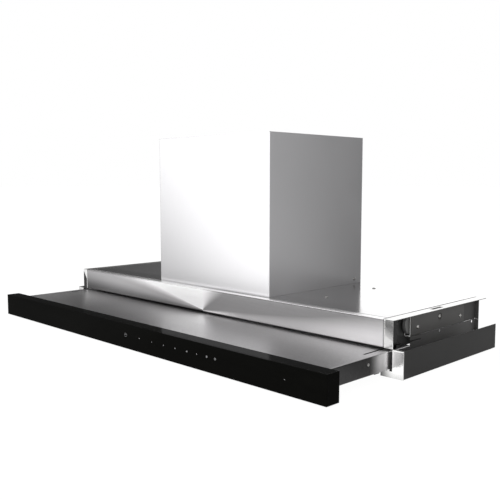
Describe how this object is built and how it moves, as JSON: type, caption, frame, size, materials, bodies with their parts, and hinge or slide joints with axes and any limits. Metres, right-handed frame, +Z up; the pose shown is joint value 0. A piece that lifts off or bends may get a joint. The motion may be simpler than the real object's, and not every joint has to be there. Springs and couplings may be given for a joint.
{
  "type": "pull out range hood",
  "caption": "Built-in kitchen hood for a wall cabinet: a sliding glass-fronted tray on rollers below a flat body, with a chimney housing for the blower and a round duct outlet",
  "frame": {"origin": "midway across, midway from the front glass to the back with the tray pulled out, on the plane that the lower frame stands on", "axes": "+X to the right across the hood, +Y to the wall behind it, +Z up"},
  "size_m": [0.898, 0.469, 0.3786],
  "materials": {
    "brushed": "brushed along the hood's width",
    "gloss_steel": "smooth satin steel",
    "dark_steel": "plain grey sheet",
    "galvanised": "galvanised sheet",
    "aluminium": "pressed aluminium",
    "black_glass": "polished black toughened glass, opaque",
    "black_plastic": "moulded, slightly satin",
    "grey_plastic": "moulded nylon",
    "rubber": "soft black",
    "lens": "frosted",
    "board": "green circuit board",
    "bright": "plated screws and pins"
  },
  "bodies": {
    "cabinet": {"side_channel_left": "dark_steel", "side_channel_right": "dark_steel", "roller_track_left": "dark_steel", "roller_track_right": "dark_steel", "side_bracket_left": "dark_steel", "side_bracket_right": "dark_steel", "corner_left": "brushed", "corner_right": "brushed", "front_rail": "brushed", "top_panel": "brushed", "back_panel": "galvanised", "rear_frame": "galvanised", "filter_seat": "galvanised", "front_glides": "black_plastic", "chimney_wrap": "gloss_steel", "chimney_back": "galvanised", "chimney_top": "gloss_steel", "outlet_collar": "black_plastic", "outlet_duct": "grey_plastic", "scroll_wrap": "galvanised", "scroll_side_left": "galvanised", "scroll_side_right": "galvanised", "blower_feet": "dark_steel", "motor": "galvanised", "motor_mount": "dark_steel", "control_box": "black_plastic", "control_board": "board", "capacitor": "aluminium", "cable_gland": "black_plastic", "side_screws": "bright", "top_screws": "bright"},
    "tray": {"tray_top": "brushed", "tray_pan": "galvanised", "front_glass": "black_glass", "panel_housing": "black_plastic", "panel_ends": "black_plastic", "touch_board": "board", "touch_pads": "bright", "lamp_bodies": "gloss_steel", "lamp_lenses": "lens", "hanger_left": "gloss_steel", "hanger_right": "gloss_steel", "roller_pins": "bright", "tray_pads": "rubber", "panel_bumpers": "rubber", "tray_rivets": "bright"},
    "roller_left_front": {"roller_left_front": "grey_plastic"},
    "roller_left_rear": {"roller_left_rear": "grey_plastic"},
    "roller_right_front": {"roller_right_front": "grey_plastic"},
    "roller_right_rear": {"roller_right_rear": "grey_plastic"},
    "fan": {"impeller": "grey_plastic", "motor_shaft": "bright"},
    "flap_front": {"flap_front": "grey_plastic"},
    "flap_rear": {"flap_rear": "grey_plastic"},
    "filter_left": {"filter_rim_left": "aluminium", "filter_mesh_left": "aluminium"},
    "latch_left": {"filter_latch_left": "black_plastic"},
    "filter_right": {"filter_rim_right": "aluminium", "filter_mesh_right": "aluminium"},
    "latch_right": {"filter_latch_right": "black_plastic"}
  },
  "joints": [
    {"name": "tray_slide", "type": "slide", "parent": "cabinet", "child": "tray", "axis": [0, -1, 0], "range_m": [-0.15, 0]},
    {"name": "roller_left_front_turn", "type": "hinge", "parent": "tray", "child": "roller_left_front", "pos_m": [-0.4037, 0.03005, 0.06615], "axis": [1, 0, 0], "range_deg": [-493, 0]},
    {"name": "roller_left_rear_turn", "type": "hinge", "parent": "tray", "child": "roller_left_rear", "pos_m": [-0.4037, 0.06555, 0.06615], "axis": [1, 0, 0], "range_deg": [0, 493]},
    {"name": "roller_right_front_turn", "type": "hinge", "parent": "tray", "child": "roller_right_front", "pos_m": [0.4037, 0.03005, 0.06615], "axis": [1, 0, 0], "range_deg": [-493, 0]},
    {"name": "roller_right_rear_turn", "type": "hinge", "parent": "tray", "child": "roller_right_rear", "pos_m": [0.4037, 0.06555, 0.06615], "axis": [1, 0, 0], "range_deg": [0, 493]},
    {"name": "fan_turn", "type": "hinge", "parent": "cabinet", "child": "fan", "pos_m": [0, 0.1075, 0.2086], "axis": [1, 0, 0], "continuous": true},
    {"name": "flap_front_lift", "type": "hinge", "parent": "cabinet", "child": "flap_front", "pos_m": [0, 0.0755, 0.32565], "axis": [-1, 0, 0], "range_deg": [0, 75]},
    {"name": "flap_rear_lift", "type": "hinge", "parent": "cabinet", "child": "flap_rear", "pos_m": [0, 0.0755, 0.32565], "axis": [1, 0, 0], "range_deg": [0, 75]},
    {"name": "filter_left_tilt", "type": "hinge", "parent": "cabinet", "child": "filter_left", "pos_m": [-0.1962, 0.221, 0.0487], "axis": [1, 0, 0], "range_deg": [0, 75]},
    {"name": "latch_left_pull", "type": "slide", "parent": "filter_left", "child": "latch_left", "axis": [0, 1, 0], "range_m": [0, 0.004]},
    {"name": "filter_right_tilt", "type": "hinge", "parent": "cabinet", "child": "filter_right", "pos_m": [0.1962, 0.221, 0.0487], "axis": [1, 0, 0], "range_deg": [0, 75]},
    {"name": "latch_right_pull", "type": "slide", "parent": "filter_right", "child": "latch_right", "axis": [0, 1, 0], "range_m": [0, 0.004]}
  ],
  "couplings": [
    {"joint": "roller_left_front_turn", "follows": "tray_slide", "rad_per_m": 57.307},
    {"joint": "roller_left_rear_turn", "follows": "tray_slide", "rad_per_m": -57.307},
    {"joint": "roller_right_front_turn", "follows": "tray_slide", "rad_per_m": 57.307},
    {"joint": "roller_right_rear_turn", "follows": "tray_slide", "rad_per_m": -57.307}
  ]
}
